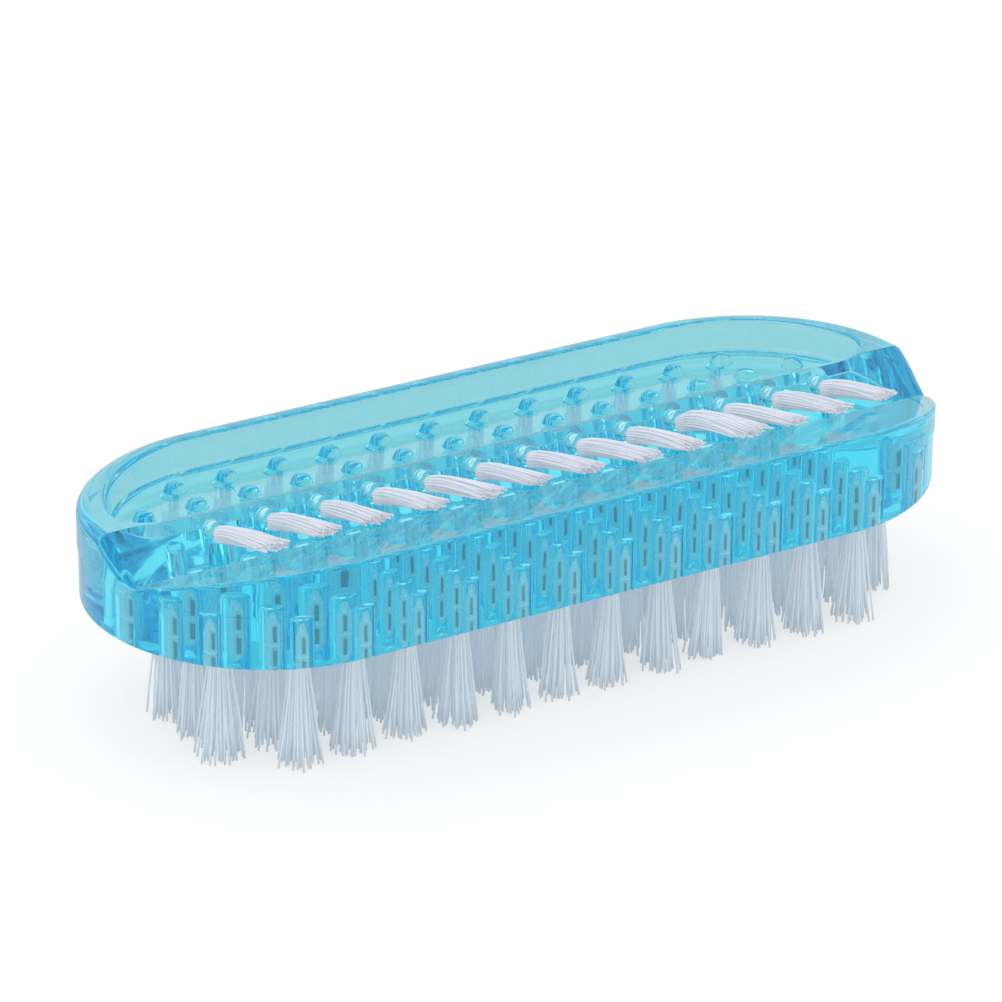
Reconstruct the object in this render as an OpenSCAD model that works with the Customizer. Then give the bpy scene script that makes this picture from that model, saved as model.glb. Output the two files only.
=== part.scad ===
// Double-sided nail brush: a clear moulded body with a field of bristle tufts
// below and one slanted row of tufts for cleaning under the nails on top.
// Millimetres, +Z up. X runs along the body, -Y is the side of the slanted row.
// The origin is under the middle of the body, at the tips of the bottom tufts.

/* [Body] */
// Length of the body over its round ends
body_l = 90.5; // [88:0.5:110]
// Width of the body, which is also twice the radius of its ends
body_w = 36.5; // [34:0.5:44]
// Height of the front wall, from the underside to the edge of the ledge
front_h = 10.2; // [9.6:0.1:12]
// Height of the rim round the thumb dish, above the underside
rim_h = 9.6; // [9.5:0.1:11]
// Height of the line where the mould halves met
parting_h = 5.35; // [4.6:0.05:6]
// Amount by which the upper half stands proud of the lower half
parting_step = 0.12; // [0.04:0.02:0.3]
// Radius of the rim's outer edge
rim_round = 1.3; // [0.4:0.1:2]
// Radius of the front wall's upper edge
front_round = 0.4; // [0.1:0.1:0.8]
// Radius of the edge round the underside
base_round = 0.3; // [0.1:0.1:0.8]

/* [Groove] */
// Distance from the front wall back to the bottom of the groove
groove_in = 13.05; // [12:0.05:14]
// Height of the bottom of the groove above the underside
groove_h = 6.2; // [5.6:0.1:7]
// Rise of the slope behind the groove, in degrees from level
slope_rise = 33; // [28:1:40]

/* [Thumb dish] */
// Height of the dish's front edge above the underside
ridge_h = 9.4; // [9:0.05:9.45]
// Width of the flat top between the slope and the dish
ridge_w = 0.6; // [0.4:0.05:1]
// Height of the dish's floor above the underside
dish_floor_h = 6.5; // [5.6:0.05:7.5]
// Width of the rim round the dish
rim_w = 2.85; // [2:0.05:4]
// Draft of the dish's walls, in degrees
dish_draft = 6.5; // [1:0.5:10]
// Radius of the rim's inner edge
rim_inner_round = 0.3; // [0.1:0.05:0.6]
// Radius of the hollow corner between the dish's walls and its floor
dish_foot_round = 0.6; // [0.2:0.1:1.2]
// Radius of the grip nubs
nub_r = 1.05; // [0.6:0.05:1.1]
// Number of nubs in the rear row
rear_nubs = 12; // [6:1:12]
// Distance from the rim's inner edge forward to the rear row of nubs
rear_nub_in = 4; // [2:0.05:4.5]
// Number of nubs in the front row
front_nubs = 14; // [6:1:14]
// Distance between the two rows of nubs
nub_row_gap = 4.45; // [3:0.05:5]
// Radius of the round marks that the ejector pins left in the floor
pin_mark_r = 1.45; // [0.8:0.05:2]
// Depth of the ejector marks
pin_mark_deep = 0.1; // [0.05:0.05:0.3]
// Distance between ejector marks
pin_mark_pitch = 27.4; // [15:0.1:29]

/* [Bottom tufts] */
// Distance between neighbouring tufts and nubs along the body
tuft_pitch = 5.66; // [4.8:0.02:5.7]
// Distance between rows of bottom tufts
row_pitch = 5; // [4:0.1:5.4]
// Length of bristle that shows below the body
bristle_out = 12; // [8:0.5:20]
// Diameter of the blind bores
bore_d = 2; // [1.6:0.1:2.4]
// Depth of the blind bores
bore_deep = 3.9; // [3.6:0.1:4.6]
// Tufts in a long bottom row
long_row = 14; // [8:1:14]
// Tufts in a short bottom row
short_row = 12; // [6:1:12]
// Strands in a bottom tuft
bottom_strands = 5; // [3:1:5]
// Splay of a bottom tuft, from its centre to its outer strands at the tips
bottom_splay = 1.15; // [0.8:0.05:1.6]

/* [Top tufts] */
// Number of tufts in the slanted row
top_tufts = 13; // [5:1:13]
// Rise of the slanted tufts, in degrees from level
top_rise = 16; // [8:1:20]
// Length of bristle that shows in front of a boss
top_out = 11.4; // [8:0.2:14]
// Outer radius of the bosses that hold the slanted tufts
boss_r = 1.3; // [1.2:0.05:1.4]
// Distance that a boss's axis stands proud of the slope
boss_out = 0.6; // [0.4:0.1:1.5]
// Diameter of the bores in the bosses
top_bore_d = 1.8; // [1.4:0.05:1.9]
// Depth of the bores in the bosses
top_bore_deep = 2.7; // [2.4:0.1:2.8]
// Distance of the bosses' centres below the dish's front edge
boss_drop = 1.35; // [1:0.05:1.5]
// Strands in a slanted tuft
top_strands = 8; // [4:1:8]
// Height of a slanted tuft's fan at its tips, from its centre
top_fan_up = 0.6; // [0.5:0.05:1]
// Width of a slanted tuft's fan at its tips, from its centre
top_fan_side = 1.5; // [1.1:0.05:2.3]
// Rise of a slanted tuft's arch above its straight line, at its middle
top_arch = 0.25; // [0:0.05:1]

/* [Bristles and anchors] */
// Width of a strand's three sides
strand_w = 0.45; // [0.3:0.05:0.5]
// Length that a strand runs into its gathered root
strand_root = 0.25; // [0.15:0.05:0.3]
// Thickness of the anchor plates
anchor_t = 0.3; // [0.2:0.05:0.4]
// Length of the anchor plates along the bore
anchor_l = 1.6; // [1.2:0.1:2]
// Depth of an anchor's lower edge inside a bottom bore
anchor_deep = 0.4; // [0.4:0.1:1]
// Turn of the bottom anchors about their bores, in degrees
anchor_turn = 18; // [0:1:45]
// Distance that an anchor stands out of a boss's bore
top_anchor_out = 0.1; // [0.1:0.05:0.3]
// Gap between a gathered root and its bore
root_gap = 0.08; // [0.05:0.01:0.15]
// Gap between an anchor and the root round it
anchor_gap = 0.05; // [0.03:0.01:0.08]
// Space left between a root and the blind end of its bore
blind_gap = 0.3; // [0.2:0.05:0.5]

/* [Hidden] */
function numbered(name, i) = str(name, i < 9 ? "0" : "", i + 1);

row_counts = [short_row, long_row, long_row, long_row, short_row, short_row];

$fn = 48;
over = 1;

end_r = body_w / 2;
end_x = body_l / 2 - end_r;
groove_y = groove_in - end_r;
ridge_y = groove_y + (ridge_h - groove_h) / tan(slope_rise);
ledge_rise = atan((front_h - groove_h) / groove_in);
rear_nub_y = end_r - rim_w - rear_nub_in;
front_nub_y = rear_nub_y - nub_row_gap;

// Where the dish's front wall would reach the rim's height
dish_front_y = ridge_y + ridge_w - (rim_h - ridge_h) * tan(dish_draft);

// Middle of a boss's end face: a place on the slope, moved out along the tuft's axis
boss_h = ridge_h - boss_drop;
boss_y = groove_y + (boss_h - groove_h) / tan(slope_rise);
boss_end_y = boss_y - boss_out * cos(top_rise);
boss_end_h = boss_h + boss_out * sin(top_rise);

// A gathered root has six sides, and its strands start at shares of its radius
root_sides = 6;
strand_sides = 3;
bottom_start_share = 0.5;
top_across_share = 0.4;
top_layer_share = 0.6;
strand_r = strand_w / sqrt(3);
root_r = bore_d / 2 - root_gap;
top_root_r = top_bore_d / 2 - root_gap;

body_colour = [0.33, 0.74, 0.86, 0.6];
bristle_colour = [0.86, 0.88, 0.93];
anchor_colour = [0.42, 0.44, 0.48];

function row_y(row) = (row - (len(row_counts) - 1) / 2) * row_pitch;
function place_x(i, count) = (i - (count - 1) / 2) * tuft_pitch;

// A half section, drawn from the middle out, carried round the body's outline
module round_outline() {
  for (side = [-1, 1])
    translate([side * end_x, 0, 0])
      rotate_extrude()
        children();
  rotate([90, 0, 90])
    translate([0, 0, -end_x])
      linear_extrude(2 * end_x)
        for (side = [0, 1])
          mirror([side, 0])
            children();
}

// A half section of one radius between two heights, with rounded outer corners
module half_section(radius, low, high, low_round, high_round) {
  middle = (low + high) / 2;
  translate([0, low + low_round])
    square([radius, high - low - low_round - high_round]);
  translate([0, low])
    square([radius - low_round, middle - low]);
  translate([0, middle])
    square([radius - high_round, high - middle]);
  if (low_round > 0)
    translate([radius - low_round, low + low_round])
      circle(low_round);
  if (high_round > 0)
    translate([radius - high_round, high - high_round])
      circle(high_round);
}

// A section in Y and Z, carried along the whole body
module along_body() {
  rotate([90, 0, 90])
    translate([0, 0, -body_l / 2 - over])
      linear_extrude(body_l + 2 * over)
        children();
}

// The space in front of the bottom of the groove
module front_space() {
  along_body()
    translate([-end_r - over, -over])
      square([groove_in + over, front_h + 2 * over]);
}

// The space above the ledge and the slope
module groove() {
  clear_h = front_h + over;
  along_body()
    polygon([
      [groove_y, groove_h],
      [groove_y + (clear_h - groove_h) / tan(slope_rise), clear_h],
      [-end_r - over, clear_h],
      [-end_r - over, groove_h + (groove_in + over) * tan(ledge_rise)]
    ]);
}

// A section of a hollow out to a drafted wall, whose edge at the rim's height is at the reach
module walled_section(start, reach) {
  foot = reach - (rim_h - dish_floor_h) * tan(dish_draft);
  round_x = foot - dish_foot_round * (1 / cos(dish_draft) - tan(dish_draft));
  polygon([
    [start, dish_floor_h],
    [round_x, dish_floor_h],
    [round_x + dish_foot_round * cos(dish_draft), dish_floor_h + dish_foot_round * (1 - sin(dish_draft))],
    [reach + over * tan(dish_draft), rim_h + over],
    [start, rim_h + over]
  ]);
  translate([round_x, dish_floor_h + dish_foot_round])
    circle(dish_foot_round);
}

// A half section of the dish's hollow, with the rim's rounded inner edge
module dish_section() {
  reach = end_r - rim_w;
  edge_x = reach + rim_inner_round * (1 / cos(dish_draft) - tan(dish_draft));
  edge_low = rim_h - rim_inner_round * (1 - sin(dish_draft));
  walled_section(0, reach);
  difference() {
    translate([0, edge_low])
      square([edge_x, rim_h + over - edge_low]);
    translate([edge_x, rim_h - rim_inner_round])
      circle(rim_inner_round);
  }
}

// The hollow of the thumb dish: round at the back and the ends, straight along the ridge
module dish() {
  intersection() {
    round_outline()
      dish_section();
    along_body() {
      mirror([1, 0])
        walled_section(-end_r, -dish_front_y);
      translate([ridge_y - over, ridge_h])
        square([ridge_w + 2 * over, rim_h + over - ridge_h]);
    }
  }
}

// One row of nubs on the dish's floor
module nub_row(count, y) {
  for (i = [0:count - 1])
    translate([place_x(i, count), y, dish_floor_h])
      sphere(nub_r);
}

// Round marks in the dish's floor, between the rows of nubs
module pin_marks() {
  for (i = [-1:1])
    translate([i * pin_mark_pitch, (rear_nub_y + front_nub_y) / 2, dish_floor_h - pin_mark_deep])
      cylinder(rim_h, r = pin_mark_r);
}

// The body's outside without bosses, nubs or bores, its underside at zero
module block() {
  difference() {
    union() {
      round_outline()
        half_section(end_r - parting_step, 0, parting_h, base_round, 0);
      intersection() {
        round_outline()
          half_section(end_r, parting_h, front_h, 0, front_round);
        front_space();
      }
      difference() {
        round_outline()
          half_section(end_r, parting_h, rim_h, 0, rim_round);
        front_space();
      }
    }
    groove();
    dish();
  }
}

// Turns what is drawn along +Z from the middle of a boss's end face onto its tuft's axis
module at_boss(i) {
  translate([place_x(i, top_tufts), boss_end_y, boss_end_h])
    rotate([90 - top_rise, 0, 0])
      children();
}

// Moves what is drawn from the mouth of a bottom bore to that bore
module at_bore(row, i) {
  translate([place_x(i, row_counts[row]), row_y(row), 0])
    children();
}

module body() {
  color(body_colour)
    translate([0, 0, bristle_out])
      difference() {
        union() {
          block();
          nub_row(rear_nubs, rear_nub_y);
          nub_row(front_nubs, front_nub_y);
          for (i = [0:top_tufts - 1])
            at_boss(i)
              translate([0, 0, -top_bore_deep])
                cylinder(top_bore_deep, r = boss_r);
        }
        pin_marks();
        for (i = [0:top_tufts - 1])
          at_boss(i)
            translate([0, 0, -top_bore_deep])
              cylinder(top_bore_deep + over, d = top_bore_d);
        for (row = [0:len(row_counts) - 1])
          for (i = [0:row_counts[row] - 1])
            at_bore(row, i)
              translate([0, 0, -over])
                cylinder(bore_deep + over, d = bore_d);
      }
}

// A strand through the points of its path, which climb in Z, with flat ends
module strand(path) {
  last = len(path) - 1;
  points = [for (p = path) for (k = [0:strand_sides - 1])
    p + strand_r * [cos(k * 360 / strand_sides), sin(k * 360 / strand_sides), 0]];
  sides = [for (j = [0:last - 1]) for (k = [0:strand_sides - 1])
    let (a = j * strand_sides + k, b = j * strand_sides + (k + 1) % strand_sides)
    each [[a, a + strand_sides, b + strand_sides], [a, b + strand_sides, b]]];
  ends = [[0, 1, 2], last * strand_sides * [1, 1, 1] + [2, 1, 0]];
  polyhedron(points, concat(sides, ends));
}

// The gathered root in a bore whose mouth is at zero, cut through where its anchor lies
module gathered_root(radius, deep, anchor_start) {
  difference() {
    cylinder(deep - blind_gap, r = radius, $fn = root_sides);
    translate([0, 0, anchor_start + anchor_l / 2])
      cube([2 * radius + over, anchor_t + 2 * anchor_gap, anchor_l + 2 * anchor_gap], center = true);
  }
}

// An anchor plate in a bore whose mouth is at zero
module anchor(radius, anchor_start) {
  translate([0, 0, anchor_start + anchor_l / 2])
    cube([2 * radius, anchor_t, anchor_l], center = true);
}

// Strand k of a bottom tuft, from its flat tip up to its root
module bottom_strand(k) {
  turn = 360 * k / bottom_strands;
  way = [cos(turn), sin(turn), 0];
  strand([
    bottom_splay * way + [0, 0, -bristle_out],
    bottom_start_share * root_r * way + [0, 0, strand_root]
  ]);
}

module bottom_tufts(row) {
  color(bristle_colour)
    translate([0, 0, bristle_out])
      for (i = [0:row_counts[row] - 1])
        at_bore(row, i) {
          rotate([0, 0, 90 - anchor_turn])
            gathered_root(root_r, bore_deep, anchor_deep);
          for (k = [0:bottom_strands - 1])
            bottom_strand(k);
        }
}

module bottom_anchors(row) {
  color(anchor_colour)
    translate([0, 0, bristle_out])
      for (i = [0:row_counts[row] - 1])
        at_bore(row, i)
          rotate([0, 0, 90 - anchor_turn])
            anchor(root_r, anchor_deep);
}

// Strand k of a slanted tuft: two layers, each a fan whose middle is arched up
module top_strand(k) {
  layer = k % 2 == 0 ? 1 : -1;
  across = 2 * k / (top_strands - 1) - 1;
  root = top_root_r * [top_across_share * across, top_layer_share * layer, 0];
  tip = [top_fan_side * across, top_fan_up * layer, 0];
  strand([
    root + [0, 0, -strand_root],
    (root + tip) / 2 + [0, top_arch, top_out / 2],
    tip + [0, 0, top_out]
  ]);
}

module top_tuft(i) {
  color(bristle_colour)
    translate([0, 0, bristle_out])
      at_boss(i) {
        mirror([0, 0, 1])
          gathered_root(top_root_r, top_bore_deep, -top_anchor_out);
        for (k = [0:top_strands - 1])
          top_strand(k);
      }
}

module top_anchors() {
  color(anchor_colour)
    translate([0, 0, bristle_out])
      for (i = [0:top_tufts - 1])
        at_boss(i)
          mirror([0, 0, 1])
            anchor(top_root_r, -top_anchor_out);
}

body();
for (row = [0:len(row_counts) - 1]) {
  bottom_tufts(row);
  bottom_anchors(row);
}
for (i = [0:top_tufts - 1]) {
  top_tuft(i);
}
top_anchors();
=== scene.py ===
import math
import random

import bpy
import numpy as np
from mathutils import Matrix, Vector


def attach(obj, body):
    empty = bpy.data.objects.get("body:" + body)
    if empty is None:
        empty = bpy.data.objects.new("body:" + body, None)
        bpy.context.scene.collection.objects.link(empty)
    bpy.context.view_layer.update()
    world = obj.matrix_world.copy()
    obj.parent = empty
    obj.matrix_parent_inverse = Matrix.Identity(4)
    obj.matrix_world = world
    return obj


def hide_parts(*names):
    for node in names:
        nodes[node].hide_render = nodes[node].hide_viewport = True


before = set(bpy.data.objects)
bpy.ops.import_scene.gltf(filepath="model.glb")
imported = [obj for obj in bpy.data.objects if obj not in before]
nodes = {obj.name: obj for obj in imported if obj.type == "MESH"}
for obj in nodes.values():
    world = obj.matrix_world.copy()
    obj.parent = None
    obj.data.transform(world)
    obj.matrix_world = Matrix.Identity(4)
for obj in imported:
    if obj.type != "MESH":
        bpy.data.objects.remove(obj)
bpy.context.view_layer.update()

mm = 0.001
square = math.pi / 2
scene = bpy.context.scene


# Shader maths: a wrapped socket, and the node tree that it belongs to

class Wire:
    def __init__(self, tree, port):
        self.tree = tree
        self.port = port

    def maths(self, operation, first, second):
        return self.tree.add("ShaderNodeMath", {"operation": operation}, {0: first, 1: second})

    def __add__(self, other):
        return self.maths("ADD", self, other)

    def __radd__(self, other):
        return self.maths("ADD", other, self)

    def __sub__(self, other):
        return self.maths("SUBTRACT", self, other)

    def __rsub__(self, other):
        return self.maths("SUBTRACT", other, self)

    def __mul__(self, other):
        return self.maths("MULTIPLY", self, other)

    def __rmul__(self, other):
        return self.maths("MULTIPLY", other, self)


class Recipe:
    def __init__(self, owner):
        owner.use_nodes = True
        self.owner = owner
        self.tree = owner.node_tree
        self.tree.nodes.clear()

    def add(self, kind, settings=None, sockets=None, out=0):
        node = self.tree.nodes.new(kind)
        for name, value in (settings or {}).items():
            setattr(node, name, value)
        for name, value in (sockets or {}).items():
            port = node.inputs[name]
            if isinstance(value, Wire):
                self.tree.links.new(value.port, port)
            else:
                port.default_value = value
        return Wire(self, node.outputs[out]) if len(node.outputs) else None

    def mix(self, factor, first, second):  # between two colours
        return self.add("ShaderNodeMix", {"data_type": "RGBA"}, {"Factor": factor, 6: first, 7: second}, out=2)

    def value(self, name):  # of a point attribute
        return self.add("ShaderNodeAttribute", {"attribute_name": name}, out=2)

    def noise(self, scale, detail, rough=0.5):
        place = self.add("ShaderNodeTexCoord", out=3)
        sockets = {"Vector": place, "Scale": scale, "Detail": detail, "Roughness": rough}
        return self.add("ShaderNodeTexNoise", None, sockets)

    def rays(self):  # what the camera sees straight, and what it sees in or through something
        direct, gloss, through = (self.add("ShaderNodeLightPath", out="Is %s Ray" % kind)
                                  for kind in ("Camera", "Glossy", "Transmission"))
        return direct, self.add("ShaderNodeMath", {"operation": "MINIMUM"}, {0: gloss + through, 1: 1.0})

    def finish(self, surface, volume=None, kind="Material"):
        sockets = {"Surface": surface}
        if volume is not None:
            sockets["Volume"] = volume
        self.add("ShaderNodeOutput" + kind, None, sockets)
        return self.owner


def rgb(r, g, b):  # a colour written as it shows, 0 to 255
    def linear(v):
        v /= 255
        return v / 12.92 if v <= 0.04045 else ((v + 0.055) / 1.055) ** 2.4
    return (linear(r), linear(g), linear(b), 1)


# Camera

cameraFit = {
    "azimuth": -31.706,  # degrees from straight in front, to the left
    "elevation": 23.629,
    "roll": 0.379,
    "distance": 518.95,  # mm from the target
    "target": (0, 0, 19.7),
    "lens": 194.0, "sensor": 36,  # mm
    "shift": (-0.0156, -0.0472),
    "near": 0.01, "far": 20,  # m
}


def makeCamera(fit):
    azimuth = math.radians(fit["azimuth"])
    elevation = math.radians(fit["elevation"])
    roll = math.radians(fit["roll"])
    back = Vector((math.sin(azimuth) * math.cos(elevation),
                   -math.cos(azimuth) * math.cos(elevation),
                   math.sin(elevation)))
    level = Vector((math.cos(azimuth), math.sin(azimuth), 0))
    right = level * math.cos(roll) + back.cross(level) * math.sin(roll)
    up = back.cross(right)
    data = bpy.data.cameras.new("camera")
    data.lens = fit["lens"]
    data.sensor_width = fit["sensor"]
    data.shift_x, data.shift_y = fit["shift"]
    data.clip_start = fit["near"]
    data.clip_end = fit["far"]
    camera = bpy.data.objects.new("camera", data)
    place = (Vector(fit["target"]) + back * fit["distance"]) * mm
    camera.matrix_world = Matrix.Translation(place) @ Matrix((right, up, back)).transposed().to_4x4()
    scene.collection.objects.link(camera)
    scene.camera = camera


makeCamera(cameraFit)
print("camera placed")


# Finishes

clearBlue = {
    "index": 1.57,
    "roughness": 0.02, "uneven": 0.02, "unevenScale": 900,
    "tint": (0.49, 0.935, 1.0, 1),
    "absorb": (0.0, 0.90, 0.998, 1),
    "density": 58,  # per metre
    "waves": 0.03, "waveDeep": 0.001, "waveScale": 220,
}


def clearBlueFinish(look):
    r = Recipe(bpy.data.materials.new("clearBlue"))
    flow = r.noise(look["waveScale"], 2)
    fine = r.noise(look["unevenScale"], 2, 0.6)
    waves = {"Strength": look["waves"], "Distance": look["waveDeep"], "Height": flow}
    shader = r.add("ShaderNodeBsdfPrincipled", None, {
        "Base Color": look["tint"],
        "Transmission Weight": 1.0,
        "IOR": look["index"],
        "Roughness": look["roughness"] + look["uneven"] * fine,
        "Normal": r.add("ShaderNodeBump", None, waves),
    })
    soak = r.add("ShaderNodeVolumeAbsorption", None, {"Color": look["absorb"], "Density": look["density"]})
    return r.finish(shader, soak)


nylon = {
    "pale": (0.71, 0.73, 0.785, 1),
    # painted shade: a cyan colour that stands in for the light reaching the bottom bristles through the clear body
    "paintedCyanShade": (0.67, 0.748, 0.787, 1),
    "roughness": 0.38, "uneven": 0.15, "unevenScale": 1500,
    "index": 1.53,
    "inner": (0.69, 0.74, 0.786, 1),
    "through": 0.35,  # share of the light that passes into a filament
    "glow": 0.27,  # painted light: an even glow that stands in for light that has wandered between the filaments
    "lit": (1.16, 1.26, 1.32, 1),  # the painted glow's colour inside the bores, which the clear body lights from all round
}


def nylonFinish(look):
    r = Recipe(bpy.data.materials.new("nylon"))
    streak = r.noise(look["unevenScale"], 1)
    # each filament mixes the pale nylon with the painted cyan shade, by its tone and shade share
    colour = r.mix(r.value("strandToneAndShade"), look["paintedCyanShade"], look["pale"])
    shader = r.add("ShaderNodeBsdfPrincipled", None, {
        "Base Color": colour,
        "Roughness": look["roughness"] + look["uneven"] * (streak - 0.5),
        "IOR": look["index"],
        # painted light: the filaments glow in their own colour outside the bores and in the brighter lit colour
        # inside them
        "Emission Color": r.mix(r.value("boreLightShare"), colour, look["lit"]),
        "Emission Strength": look["glow"],
    })
    inner = r.add("ShaderNodeBsdfTranslucent", None, {"Color": look["inner"]})
    return r.finish(r.add("ShaderNodeMixShader", None, {0: look["through"], 1: shader, 2: inner}))


wire = {
    "bright": rgb(205, 210, 216),
    "dull": rgb(172, 177, 184),
    "metal": 0.45,
    "roughness": 0.34, "uneven": 0.2,
    "grain": 0.2, "grainDeep": 0.0001, "grainScale": 2600,
    # painted light: the anchors glow evenly in their bright colour
    "glow": 0.16,
}


def wireFinish(look):
    r = Recipe(bpy.data.materials.new("anchorWire"))
    grain = r.noise(look["grainScale"], 3)
    bump = {"Strength": look["grain"], "Distance": look["grainDeep"], "Height": grain}
    return r.finish(r.add("ShaderNodeBsdfPrincipled", None, {
        "Base Color": r.mix(grain, look["dull"], look["bright"]),
        "Metallic": look["metal"],
        "Roughness": look["roughness"] + look["uneven"] * grain,
        "Normal": r.add("ShaderNodeBump", None, bump),
        # painted light: an even glow in the bright colour
        "Emission Color": look["bright"],
        "Emission Strength": look["glow"],
    }))


blueFinish = clearBlueFinish(clearBlue)
bristleFinish = nylonFinish(nylon)
anchorFinish = wireFinish(wire)

anchorNodes = sorted(n for n in nodes if "anchors" in n)
for n in anchorNodes:
    nodes[n].data.materials.clear()
    nodes[n].data.materials.append(anchorFinish)
print("finishes made for the body and", len(anchorNodes), "rows of anchors")


# The clear body: one moulding, cut and joined from turned and drawn-out forms.
# Lengths are in mm, and heights are above its underside.

body = {
    "length": 90.5, "width": 36.5,
    "under": 12.0,  # height of the underside above the bristle tips
    "front": 10.2, "rim": 9.6, "parting": 5.35, "step": 0.12,
    "frontRound": 0.35, "valleyRound": 0.6, "rimRound": 1.3, "backRound": 1.9, "baseRound": 0.3,
    "valleyFade": 4, "rimFade": 3,  # how soon the rounding changes to each side of the groove
    "backFrom": 0.35, "backOver": 0.9,  # radians round the end, over which the back's rounding grows
    "grooveIn": 13.05, "grooveHigh": 6.2, "slope": 33,
    "ridge": 9.4, "ridgeWide": 0.6, "ridgeRound": 0.3, "wallRound": 0.2,
    "ridgeEnd": 37.0, "ridgeBlend": 4.8, "blendSteps": 13,  # where the ridge starts to rise into the rim
    "floor": 6.5, "rimWide": 2.85, "draft": 6.5, "corner": 3.5, "innerRound": 0.7, "footRound": 0.6,
    "nub": 1.05, "nubFoot": 0.2, "nubSunk": 0.4, "nubRows": ((12, 11.4), (14, 6.95)),  # nubs, and the row's Y
    "markRadius": 1.45, "markDraft": 0.05, "markDeep": 0.1, "markOver": 0.02, "markPitch": 27.4,
    "boss": 1.3, "bossRound": 0.25, "bossDeep": 2.6,
    "boreEnd": 0.35, "boreOver": 1.0,
    "skim": 0.004,  # keeps two faces from lying in one plane
    "far": 2.0,  # how far a cutting form stands out
    "sharp": 28,  # degrees
    "turns": (44, 18, 56),  # steps round an end: beside the ledge, the slope and the rim
    "steps": {"base": 4, "edge": 8, "foot": 8, "inner": 6, "ridge": 6, "nubFoot": 4, "nub": 12,
              "boss": 5, "bore": 5, "corner": 16, "end": 80},
    "sides": {"nub": 32, "boss": 40, "bore": 32, "mark": 40},
}
tuftRows = {"counts": (12, 14, 14, 14, 12, 12), "pitch": 5.66, "between": 5.0, "bore": 1.0, "deep": 3.9}
slantRow = {"count": 13, "rise": 16, "drop": 1.35, "out": 0.6, "bore": 0.9, "deep": 2.7}

endRadius = body["width"] / 2
endX = body["length"] / 2 - endRadius
grooveY = body["grooveIn"] - endRadius
slopeTan = math.tan(math.radians(body["slope"]))
ledgeTan = (body["front"] - body["grooveHigh"]) / body["grooveIn"]
creaseY = grooveY + (body["rim"] - body["grooveHigh"]) / slopeTan
ridgeY = grooveY + (body["ridge"] - body["grooveHigh"]) / slopeTan
draftTan = math.tan(math.radians(body["draft"]))
dishRadius = endRadius - body["rimWide"]
dishFront = ridgeY + body["ridgeWide"] - (body["rim"] - body["ridge"]) * draftTan  # at the rim's height
cornerY = dishFront + body["corner"]
cornerTurn = math.asin(cornerY / (dishRadius - body["corner"]))
cornerX = endX + (dishRadius - body["corner"]) * math.cos(cornerTurn)
bossHigh = body["ridge"] - slantRow["drop"]
slantRise = math.radians(slantRow["rise"])
bossMouth = (
    grooveY + (bossHigh - body["grooveHigh"]) / slopeTan - slantRow["out"] * math.cos(slantRise),
    body["under"] + bossHigh + slantRow["out"] * math.sin(slantRise),
)


def addObject(name, mesh):
    piece = bpy.data.objects.new(name, mesh)
    scene.collection.objects.link(piece)
    return piece


def solid(name, points, faces):
    mesh = bpy.data.meshes.new(name)
    mesh.from_pydata([tuple(p) for p in points], [], faces)
    return addObject(name, mesh)


def arc(centre, radius, start, end, steps):  # points of a section, angles in degrees
    return [(centre[0] + radius * math.cos(math.radians(a)), centre[1] + radius * math.sin(math.radians(a)))
            for a in np.linspace(start, end, steps + 1)]


def smooth(share):  # from 0 to 1 with level ends
    return share * share * (3 - 2 * share)


def held(share):
    return max(0, min(1, share))


def stack(rings):  # a closed solid through rings of as many points each, from the bottom up
    count = len(rings[0])
    points = [p for ring in rings for p in ring]
    faces = [tuple(reversed(range(count)))]
    for j in range(len(rings) - 1):
        for k in range(count):
            a, b = j * count + k, j * count + (k + 1) % count
            faces.append((a, b, b + count, a + count))
    faces.append(tuple(range((len(rings) - 1) * count, len(rings) * count)))
    return points, faces


def lofted(outlines):  # outlines in Y and Z, each with its place along X, anticlockwise seen from +X
    return stack([[(x, y, z) for y, z in outline] for x, outline in outlines])


def turned(section, steps):  # a section of radius and height, turned about Z
    turns = [2 * math.pi * k / steps for k in range(steps)]
    return stack([[(radius * math.cos(t), radius * math.sin(t), high) for t in turns] for radius, high in section])


def copies(name, form, places):  # one object of many copies, each place a matrix
    points, faces = form
    allPoints, allFaces = [], []
    for place in places:
        start = len(allPoints)
        allPoints += [place @ Vector(p) for p in points]
        allFaces += [tuple(start + i for i in f) for f in faces]
    return solid(name, allPoints, allFaces)


def settle(piece):  # applies the piece's modifiers to its mesh
    bpy.context.view_layer.update()
    evaluated = piece.evaluated_get(bpy.context.evaluated_depsgraph_get())
    mesh = bpy.data.meshes.new_from_object(evaluated)
    piece.modifiers.clear()
    piece.data = mesh


def combine(piece, tool, operation):
    change = piece.modifiers.new("change", "BOOLEAN")
    change.operation = operation
    change.solver = "EXACT"
    change.object = tool
    settle(piece)
    bpy.data.objects.remove(tool)


def spaced(count, pitch):  # places along a row, evenly to both sides of its middle
    return [(i - (count - 1) / 2) * pitch for i in range(count)]


def rowY(row):
    return (row - (len(tuftRows["counts"]) - 1) / 2) * tuftRows["between"]


def slantPlaces():  # Z along each tuft, out of its boss
    tilt = Matrix.Rotation(square - slantRise, 4, "X")
    return [Matrix.Translation((x, bossMouth[0], bossMouth[1] - body["under"])) @ tilt
            for x in spaced(slantRow["count"], tuftRows["pitch"])]


def topAt(b, y):  # height of the outer top and its rise per mm of Y
    if y >= creaseY:
        return b["rim"], 0
    if y >= grooveY:
        return b["grooveHigh"] + (y - grooveY) * slopeTan, slopeTan
    return b["grooveHigh"] + (grooveY - y) * ledgeTan, -ledgeTan


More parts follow.
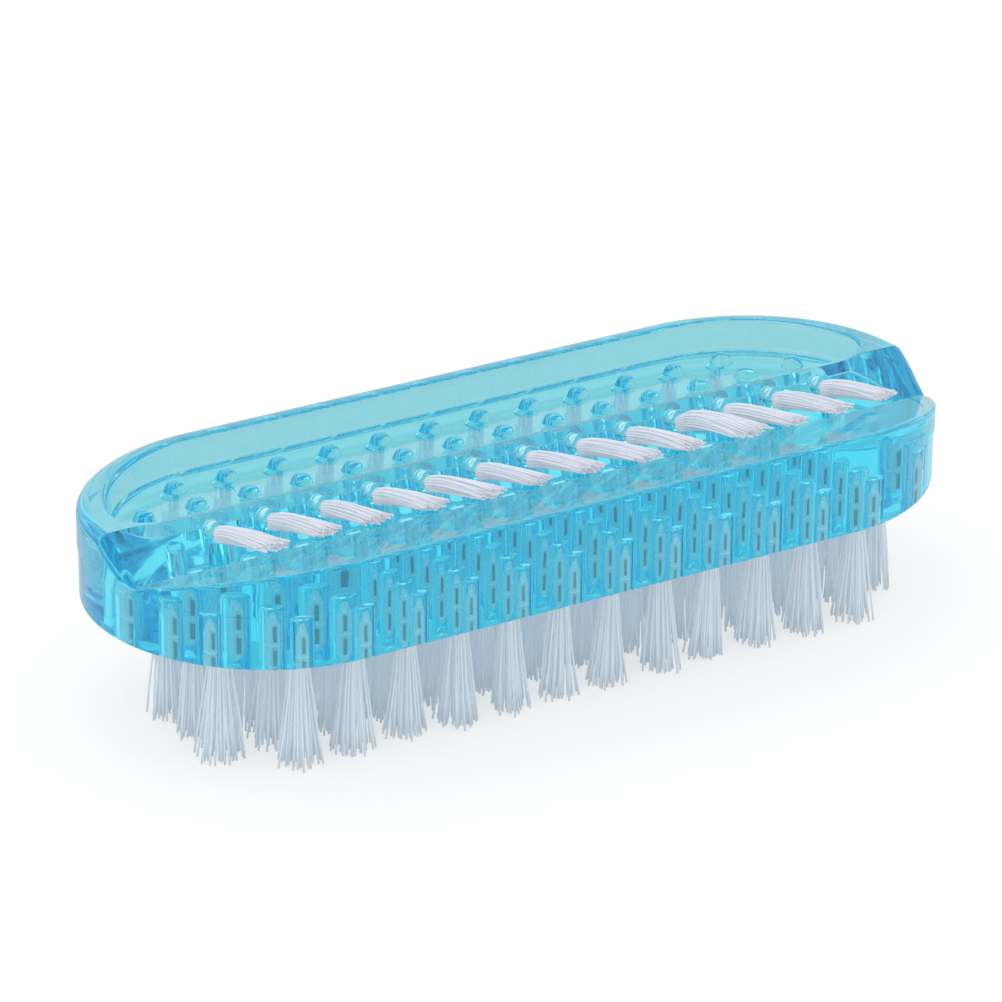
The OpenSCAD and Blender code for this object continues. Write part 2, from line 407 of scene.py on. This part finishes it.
def edgeRound(b, turn, grooveTurn, creaseTurn):  # the top edge's rounding, this far round an end
    share = (turn - grooveTurn) / (creaseTurn - grooveTurn)
    if share <= 0:
        return b["frontRound"] + (b["valleyRound"] - b["frontRound"]) * max(0, 1 + b["valleyFade"] * share)
    radius = b["valleyRound"] + (b["rimRound"] - b["valleyRound"]) * min(1, b["rimFade"] * share)
    return radius + (b["backRound"] - b["rimRound"]) * smooth(held((turn - b["backFrom"]) / b["backOver"]))


def shell(b):  # the outer form with its three top faces, every outer edge rounded by its own radius
    grooveTurn = math.asin(grooveY / (endRadius - b["valleyRound"]))
    creaseTurn = math.asin(creaseY / (endRadius - b["rimRound"]))
    stops = (-square, grooveTurn, creaseTurn, square)
    half = [stops[0]]
    for start, end, steps in zip(stops, stops[1:], b["turns"]):
        half += list(np.linspace(start, end, steps + 1))[1:]
    groove = b["turns"][0]
    crease = groove + b["turns"][1]
    creases = {groove: (grooveY, b["valleyRound"]), crease: (creaseY, b["rimRound"])}
    wall = endRadius - b["step"]
    low = arc((wall - b["baseRound"], b["baseRound"]), b["baseRound"], -90, 0, b["steps"]["base"])
    low += [(wall, b["parting"]), (endRadius, b["parting"])]
    sections = []
    for k, turn in enumerate(half):
        if k in creases:
            y, radius = creases[k]
            high, lean = topAt(b, y)[0], 0
        else:
            high, rise = topAt(b, endRadius * math.sin(turn))
            lean = rise * math.sin(turn)
            radius = edgeRound(b, turn, grooveTurn, creaseTurn)
        centre = (endRadius - radius, high - lean * radius - radius * math.hypot(1, lean))
        sections.append(low + arc(centre, radius, 0, 90 + math.degrees(math.atan(lean)), b["steps"]["edge"]))
    around = [(1, k) for k in range(len(half))] + [(-1, k) for k in reversed(range(len(half)))]
    rings = []
    for j in range(len(sections[0])):
        ring = [(side, *sections[k][j], half[k]) for side, k in around]
        rings.append([(side * (endX + out * math.cos(turn)), out * math.sin(turn), high)
                      for side, out, high, turn in ring])
    points, faces = stack(rings)
    faces.pop()  # the flat lid, in whose place come the ledge, the slope and the rim
    start = len(points) - len(around)
    cuts = (0, groove, crease, len(half) - 1)
    for first, last in zip(cuts, cuts[1:]):
        right = [start + k for k in range(first, last + 1)]
        faces.append(right + [start + len(around) - 1 - k for k in reversed(range(first, last + 1))])
    return points, faces


def dishSection(b):  # the drafted wall with its hollow foot and rounded edge, from the floor up
    draft = math.radians(b["draft"])
    away = 1 / math.cos(draft) - draftTan
    foot = -(b["rim"] - b["floor"]) * draftTan - b["footRound"] * away
    section = arc((foot, b["floor"] + b["footRound"]), b["footRound"], -90, -b["draft"], b["steps"]["foot"])
    edge = b["innerRound"] * away
    section += arc((edge, b["rim"] - b["innerRound"] + b["skim"]), b["innerRound"], 180 - b["draft"], 90,
                   b["steps"]["inner"])
    return section + [(edge, b["rim"] + b["far"])]


def dish(b):  # the wall's section of growth and height, carried round the dish's outline
    steps = b["steps"]
    turns = [(1, cornerX, cornerY, b["corner"], t) for t in np.linspace(-square, cornerTurn, steps["corner"] + 1)]
    turns += [(1, endX, 0, dishRadius, t) for t in np.linspace(cornerTurn, square, steps["end"] + 1)[1:]]
    turns += [(-side, x, y, radius, t) for side, x, y, radius, t in reversed(turns)]
    return stack([[(side * (x + (radius + grow) * math.cos(t)), y + (radius + grow) * math.sin(t), high)
                   for side, x, y, radius, t in turns] for grow, high in dishSection(b)])


ridgeCut = {
    "over": 0.01,  # how far the ridge ends above the rim, so that nothing is left there
    "least": 0.3,  # mm of the corner's radius that stay clear of its steep end
    "notch": (0.3, 0.05),  # the cut's step out into the dish, across and up
}


def ridgeSection(b, cut, x):  # what is cut away above the ridge, which rises into the rim near its ends
    share = smooth(held((abs(x) - b["ridgeEnd"]) / b["ridgeBlend"]))
    high = b["ridge"] + (b["rim"] + cut["over"] - b["ridge"]) * share
    past = min(max(abs(x) - cornerX, 0), b["corner"] - cut["least"])
    wall = cornerY - math.sqrt(b["corner"] ** 2 - past ** 2)
    slopeSide = grooveY + (high - b["grooveHigh"]) / slopeTan
    slopeSide += b["ridgeRound"] * math.tan(math.radians(b["slope"] / 2))
    wallSide = wall + (b["rim"] - high + b["wallRound"]) * draftTan
    wallSide -= b["wallRound"] / math.cos(math.radians(b["draft"]))
    level, steps = high + b["skim"], b["steps"]["ridge"]
    top = arc((slopeSide, level - b["ridgeRound"]), b["ridgeRound"], 90 + b["slope"], 90, steps)
    top += arc((wallSide + b["skim"], level - b["wallRound"]), b["wallRound"], 90, b["draft"], steps)
    out, up = cut["notch"]
    above = b["rim"] + b["far"]
    return [(top[0][0], above)] + top + [(top[-1][0] + out, top[-1][1] + up), (top[-1][0] + out, above)]


def nubForm(b):  # a ball's upper half with a hollow foot, from under the floor
    reach = b["nub"] + b["nubFoot"]
    lean = math.degrees(math.asin(b["nubFoot"] / reach))
    away = math.sqrt(reach ** 2 - b["nubFoot"] ** 2)
    foot = arc((away, b["nubFoot"] - b["skim"]), b["nubFoot"], 270, 180 + lean, b["steps"]["nubFoot"])
    ball = arc((0, 0), b["nub"], lean, 88, b["steps"]["nub"])  # short of 90, which leaves a small flat
    return turned([(away, -b["nubSunk"])] + foot + ball[1:], b["sides"]["nub"])


def bossForm(b):
    edge = arc((b["boss"] - b["bossRound"], -b["bossRound"]), b["bossRound"], 0, 90, b["steps"]["boss"])
    return turned([(b["boss"], -b["bossDeep"])] + edge, b["sides"]["boss"])


def boreForm(b, radius, deep):  # drawn downwards from its mouth at zero
    end = b["boreEnd"]
    section = [(radius, b["boreOver"])] + arc((radius - end, end - deep), end, 0, -90, b["steps"]["bore"])
    return turned(list(reversed(section)), b["sides"]["bore"])


def markForm(b):
    section = [(b["markRadius"] - b["markDraft"], -b["markDeep"]),
               (b["markRadius"], b["markOver"]), (b["markRadius"], b["far"])]
    return turned(section, b["sides"]["mark"])


def makeBody(b):
    move = Matrix.Translation
    piece = solid("clearBody", *shell(b))
    combine(piece, solid("dish", *dish(b)), "DIFFERENCE")
    rise = np.linspace(b["ridgeEnd"], b["ridgeEnd"] + b["ridgeBlend"], b["blendSteps"])
    cuts = [(x, ridgeSection(b, ridgeCut, x)) for x in [*(-rise[::-1]), *rise]]
    combine(piece, solid("ridgeCut", *lofted(cuts)), "DIFFERENCE")

    nubs = [move((x, y, b["floor"])) for count, y in b["nubRows"] for x in spaced(count, tuftRows["pitch"])]
    combine(piece, copies("nubs", nubForm(b), nubs), "UNION")
    bosses = slantPlaces()
    combine(piece, copies("bosses", bossForm(b), bosses), "UNION")

    flip = Matrix.Rotation(math.pi, 4, "X")
    bores = [move((x, rowY(row), 0)) @ flip for row, count in enumerate(tuftRows["counts"])
             for x in spaced(count, tuftRows["pitch"])]
    form = boreForm(b, tuftRows["bore"], tuftRows["deep"])
    combine(piece, copies("bottomBores", form, bores), "DIFFERENCE")
    form = boreForm(b, slantRow["bore"], slantRow["deep"])
    combine(piece, copies("slantBores", form, bosses), "DIFFERENCE")
    markY = (b["nubRows"][0][1] + b["nubRows"][1][1]) / 2
    marks = [move((x, markY, b["floor"])) for x in spaced(3, b["markPitch"])]
    combine(piece, copies("marks", markForm(b), marks), "DIFFERENCE")

    piece.data.transform(Matrix.Scale(mm, 4) @ move((0, 0, b["under"])))
    piece.data.materials.clear()
    piece.data.materials.append(blueFinish)
    piece.data.shade_smooth()
    piece.data.set_sharp_from_angle(angle=math.radians(b["sharp"]))
    change = piece.modifiers.new("faces", "WEIGHTED_NORMAL")
    change.mode = "FACE_AREA"
    change.weight = 100
    change.keep_sharp = True
    settle(piece)
    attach(piece, "root")
    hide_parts("body")


makeBody(body)
print("clear body made")


# Bristles: every filament is one tube, folded round its anchor, with both ends showing

class Tubes:
    def __init__(self, sides):
        turn = np.arange(sides) * 2 * math.pi / sides
        self.circle = np.stack([np.cos(turn), np.sin(turn)], 1)
        self.points = []
        self.faces = []
        self.tones = []
        self.boreLight = []
        self.made = 0

    def add(self, path, radius, across, tone, boreLight):
        path = np.asarray(path, float)
        along = np.gradient(path, axis=0)
        side = np.cross(along, across)
        side /= np.linalg.norm(side, axis=1)[:, None]
        third = np.cross(side, along)
        third /= np.linalg.norm(third, axis=1)[:, None]
        circle = self.circle[None]
        rings = path[:, None] + radius * (circle[..., :1] * side[:, None] + circle[..., 1:] * third[:, None])
        count, last = len(self.circle), len(path) - 1
        ring = self.made + np.arange(last)[:, None] * count
        low = ring + np.arange(count)[None]
        high = ring + (np.arange(count)[None] + 1) % count
        self.faces += np.stack([low, low + count, high + count, high], 2).reshape(-1, 4).tolist()
        self.faces.append([self.made + k for k in range(count)])
        self.faces.append([self.made + last * count + k for k in reversed(range(count))])
        self.points.append(rings.reshape(-1, 3))
        self.tones.append(np.full(len(path) * count, tone))
        self.boreLight.append(np.repeat(boreLight, count))
        self.made += len(path) * count

    def build(self, name, finish):
        mesh = bpy.data.meshes.new(name)
        mesh.from_pydata((np.concatenate(self.points) * mm).tolist(), [], self.faces)
        # the filaments carry their tone with its painted shade, and their share of the painted bore light
        for label, values in (("strandToneAndShade", self.tones), ("boreLightShare", self.boreLight)):
            layer = mesh.attributes.new(label, "FLOAT", "POINT")
            layer.data.foreach_set("value", np.concatenate(values).astype(np.float32))
        mesh.materials.append(finish)
        mesh.shade_smooth()
        return addObject(name, mesh)


bundle = {
    "filament": 0.1,  # mm, radius
    "pitch": 0.19,
    "plate": 0.15,  # half the anchor's thickness
    "clear": 0.02,  # between the anchor and the first layer
    "sides": 6,
    "gap": 0.2,  # from the middle to the nearest filament, beside the anchor
}


def halfBundle(radius):  # places of the filaments to one side of the anchor
    places = []
    step = bundle["pitch"] * math.sqrt(3) / 2
    y = bundle["plate"] + bundle["filament"] + bundle["clear"]
    while y < radius - bundle["filament"]:
        reach = math.sqrt(max(0, (radius - bundle["filament"]) ** 2 - y * y))
        count = int(2 * reach / bundle["pitch"]) + 1
        places += [(x, y) for x in spaced(count, bundle["pitch"])]
        y += step
    return places


def shuffled(places, draw):
    other = places[:]
    draw.shuffle(other)
    return other


def closed(v, radius):  # a filament's distance from the middle, once its tuft has closed past the anchor
    return (v - bundle["gap"]) * radius / (radius - bundle["gap"])


def boreLightShare(mouth, outside):  # share of the painted bore light: 1 at a path's points in the bore, and how much at its mouth
    leg = [1, 1, mouth] + [0] * outside
    return leg[::-1] + [1, 1, 1] + leg


rows = {
    "boreRadius": 0.97,
    "anchorHigh": 2.0, "anchorLow": 0.4,
    "turn": 72,  # degrees, the anchors' direction from +X
    "tight": (0.97, 0.95),  # how much closer the filaments stand at the mouth, along the anchor and across
    "spread": 1.4, "spreadVaries": (0.8, 1.25), "spreadEase": 1.25,
    "each": (0.75, 0.5),  # a filament's least share of the spread, and what chance adds
    "lean": 0.16, "stray": 0.22, "curl": 0.1,  # mm, as standard deviations
    "trim": 0.35,  # mm, the tips' unevenness
    "mouth": 0.05, "mouthLit": 0.6,
    "along": (0.25, 0.5, 0.75, 1),  # the path's points outside the bore
    "fold": {"up": 0.12, "rise": 1.4, "drop": 0.25, "wide": 0.6, "side": 0.8, "start": 0.1},
    # share of the pale nylon: the bottom rows lean to the painted cyan shade, and each filament and tuft also
    # differs at random
    "tone": (0.05, 0.6), "tuftTone": 0.12,
}


def foldPoints(fold, base, along, out, up, top, places):  # over the anchor, from one leg to the other
    u, v, other = places
    points = []
    for s in (fold["side"], 0, -fold["side"]):
        across = along * (u * (0.5 + s / 2) + other * (0.5 - s / 2)) + out * s * fold["wide"] * v
        points.append(base + across + up * (top - (fold["drop"] * v if s else 0)))
    return points


def bottomTuft(tubes, x, y, look, draw):
    turn = math.radians(look["turn"])
    along = np.array([math.cos(turn), math.sin(turn), 0])  # in the anchor's plane
    out = np.array([-math.sin(turn), math.cos(turn), 0])
    up = np.array([0, 0, 1])
    lean = np.array([draw.gauss(0, look["lean"]), draw.gauss(0, look["lean"]), 0])
    spread = look["spread"] * draw.uniform(*look["spreadVaries"])
    base = np.array([x, y, body["under"]])
    fold = look["fold"]
    places = halfBundle(look["boreRadius"])
    other = shuffled(places, draw)
    tone = draw.uniform(-look["tuftTone"], look["tuftTone"])
    boreLight = boreLightShare(look["mouthLit"], len(look["along"]))
    for (u, v), (u2, v2) in zip(places, other):
        legs = []
        for sign, (a, b) in ((1, (u, v)), (-1, (u2, v2))):
            inside = along * a + out * b * sign
            tight = along * a * look["tight"][0]
            tight = tight + out * sign * closed(b, look["boreRadius"]) * look["tight"][1]
            least, chance = look["each"]
            tip = tight + tight / look["boreRadius"] * spread * (least + chance * draw.random()) + lean
            tip = tip + np.array([draw.gauss(0, look["stray"]), draw.gauss(0, look["stray"]), 0])
            curl = np.array([draw.gauss(0, look["curl"]), draw.gauss(0, look["curl"]), 0])
            low = -body["under"] + draw.uniform(0.0, look["trim"])
            leg = [base + inside + up * h for h in (look["anchorHigh"] - fold["start"], look["anchorLow"])]
            leg.append(base + tight + up * look["mouth"])
            for t in look["along"]:
                place = tight + (tip - tight) * t ** look["spreadEase"] + curl * math.sin(math.pi * t)
                leg.append(base + place + up * low * t)
            legs.append(leg)
        top = look["anchorHigh"] + fold["up"] + fold["rise"] * (v - bundle["gap"])
        bend = foldPoints(fold, base, along, out, up, top, (u, v, u2))
        tubes.add(legs[0][::-1] + bend + legs[1], bundle["filament"], along,
                  held(draw.uniform(*look["tone"]) + tone), boreLight)


def bottomRow(row, look):
    draw = random.Random(100 + row)
    tubes = Tubes(bundle["sides"])
    for x in spaced(tuftRows["counts"][row], tuftRows["pitch"]):
        bottomTuft(tubes, x, rowY(row), look, draw)
    piece = tubes.build("bottomBristlesRow%d" % (row + 1), bristleFinish)
    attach(piece, "root")
    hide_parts("bottom_tufts_row_%02d" % (row + 1))


for row in range(len(tuftRows["counts"])):
    bottomRow(row, rows)
print("bottom bristles made")


slanted = {
    "boreRadius": 0.88,
    "anchorHigh": 1.5,
    "reach": (11.4, 10.8, 10.5, 10.7, 11.8, 11.0, 11.4,
              12.4, 12.2, 12.8, 12.4, 11.8, 10.8),  # mm, in front of each boss
    "short": 0.05, "slantTip": 0.02,  # shares of the reach: uneven tips, and those at the left longer
    "fan": 1.8, "fanVaries": (0.92, 1.08), "fanEase": 1.1,
    "thick": (0.85, 0.5), "root": 0.75,  # half of it, at the middle and at the tips, and what the root has
    "arch": 0.28, "archEase": 0.75, "archUp": (0.7, 0.3),  # mm, and how it grows from the lowest layer up
    "bushy": {9: 0.6}, "bushyFan": 1.2, "bushyLean": 1.3,  # extra arch in mm, and what it does to the fan
    "lean": 0.2, "wide": 0.12, "curl": 0.12, "stray": 0.05,  # mm, as standard deviations
    "mouthLit": 0.5,
    "along": (0.15, 0.35, 0.6, 0.8, 1),  # the path's points outside the bore
    "fold": {"up": 0.15, "rise": 0.4, "drop": 0.2, "wide": 0.6, "side": 0.8, "start": 0.1},
    # share of the pale nylon: the slanted tufts stay near it, with little of the painted cyan shade
    "tone": (0.85, 1),
}


def slantedTuft(i, x, look):
    draw = random.Random(300 + i)
    tubes = Tubes(bundle["sides"])
    ahead = np.array([0, -math.cos(slantRise), math.sin(slantRise)])
    upward = np.array([0, math.sin(slantRise), math.cos(slantRise)])
    sideways = np.array([1.0, 0, 0])
    base = np.array([x, *bossMouth])
    radius = look["boreRadius"]
    fold = look["fold"]
    places = halfBundle(radius)
    other = shuffled(places, draw)
    extra = look["bushy"].get(i, 0)
    lean = draw.gauss(0, look["lean"]) + look["bushyLean"] * extra
    fan = look["fan"] * draw.uniform(*look["fanVaries"]) + look["bushyFan"] * extra
    middle, tips = look["thick"]
    low, more = look["archUp"]
    boreLight = boreLightShare(look["mouthLit"], len(look["along"]))
    for (u, v), (u2, v2) in zip(places, other):
        legs = []
        for sign, (a, b) in ((1, (u, v)), (-1, (u2, v2))):
            inside = sideways * a + upward * b * sign
            wide = a / radius * fan + draw.gauss(0, look["wide"]) + lean
            near = closed(b, radius)
            layer = sign * near / radius
            length = look["reach"][i] * (1 - look["short"] * abs(draw.gauss(0, 1))) * (1 - look["slantTip"] * a)
            leg = [base + inside - ahead * h for h in (look["anchorHigh"] - fold["start"], look["anchorHigh"] / 2)]
            leg.append(base + sideways * a + upward * sign * near)
            curl = draw.gauss(0, look["curl"])
            stray = draw.gauss(0, look["stray"])
            for t in look["along"]:
                bulge = math.sin(math.pi * min(1, t ** look["archEase"]))
                high = sign * near + (layer * tips - sign * near + stray) * t
                high += layer * (middle - look["root"]) * bulge
                high += (look["arch"] + extra) * bulge * (low + more * layer)
                across = a + (wide - a) * t ** look["fanEase"] + curl * math.sin(math.pi * t)
                leg.append(base + sideways * across + upward * high + ahead * length * t)
            legs.append(leg)
        top = look["anchorHigh"] + fold["up"] + fold["rise"] * v
        bend = foldPoints(fold, base, sideways, upward, -ahead, top, (u, v, u2))
        tubes.add(legs[0][::-1] + bend + legs[1], bundle["filament"], sideways, draw.uniform(*look["tone"]), boreLight)
    piece = tubes.build("slantedTuft%02d" % (i + 1), bristleFinish)
    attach(piece, "root")
    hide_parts("top_tuft_%02d" % (i + 1))


for i, x in enumerate(spaced(slantRow["count"], tuftRows["pitch"])):
    slantedTuft(i, x, slanted)
print("slanted tufts made")


# Floor, world and lamps

studio = {
    "fill": 1.15,  # level of the world's light
    "tent": 0.95,  # what shows of the world in and through the clear body
    "under": 0.66,  # what shows of the floor there
    "backdrop": 1.0,
    "dark": 0.44,  # how far the room in front is darker than the tent behind
    "front": (-0.48, -0.78, 0.4), "frontEdge": (0.1, 0.8),
    "floor": (0.93, 0.94, 0.95, 1),
    "floorHalf": 3.0, "floorSunk": 0.00002,  # m
    "plain": (0.6, 0.85),  # share of the floor that is plain backdrop, seen straight and through the body
    "white": (1, 1, 1, 1),
    "lamps": (  # place and size in m, W
        ("overhead", (-0.1, 0.25, 0.8), (0.5, 0.35), 0.6),
        ("left", (-0.7, -0.3, 0.5), (0.4, 0.4), 0.4),
    ),
    "aim": (0, 0, 0.01),
    "bounces": {"max": 40, "transmission": 40, "glossy": 16, "diffuse": 16},
}


def makeWorld(look):
    world = bpy.data.worlds.new("studio")
    scene.world = world
    r = Recipe(world)
    direct, bent = r.rays()
    way = r.add("ShaderNodeTexCoord", out=0)
    ahead = r.add("ShaderNodeVectorMath", {"operation": "DOT_PRODUCT"}, {0: way, 1: look["front"]}, out=1)
    least, most = look["frontEdge"]
    edge = {"Value": ahead, "From Min": least, "From Max": most}
    room = r.add("ShaderNodeMapRange", {"interpolation_type": "SMOOTHSTEP"}, edge)
    tent = look["tent"] * (1 - look["dark"] * room)
    strength = look["fill"] + (look["backdrop"] - look["fill"]) * direct + (tent - look["fill"]) * bent
    light = r.add("ShaderNodeBackground", None, {"Color": look["white"], "Strength": strength})
    r.finish(light, kind="World")


def makeFloor(look):
    w = look["floorHalf"]
    floor = solid("floor", [(-w, -w, 0), (w, -w, 0), (w, w, 0), (-w, w, 0)], [(0, 1, 2, 3)])
    floor.location.z = -look["floorSunk"]
    r = Recipe(bpy.data.materials.new("paleFloor"))
    direct, bent = r.rays()
    matt = r.add("ShaderNodeBsdfDiffuse", None, {"Color": look["floor"]})
    level = direct * look["backdrop"] + bent * look["under"]
    glow = r.add("ShaderNodeEmission", None, {"Color": look["white"], "Strength": level})
    straight, through = look["plain"]
    share = straight * direct + through * bent
    floor.data.materials.append(r.finish(r.add("ShaderNodeMixShader", None, {0: share, 1: matt, 2: glow})))


def lamp(name, place, size, power, aim):
    data = bpy.data.lights.new(name, "AREA")
    data.shape = "RECTANGLE"
    data.size, data.size_y = size
    data.energy = power
    lightObject = addObject(name, data)
    lightObject.location = place
    lightObject.rotation_euler = (Vector(place) - Vector(aim)).to_track_quat("Z", "Y").to_euler()


makeWorld(studio)
makeFloor(studio)
for name, place, panel, power in studio["lamps"]:
    lamp(name, place, panel, power, studio["aim"])
scene.view_settings.view_transform = "Standard"
for kind, count in studio["bounces"].items():
    setattr(scene.cycles, kind + "_bounces", count)
print("studio made")
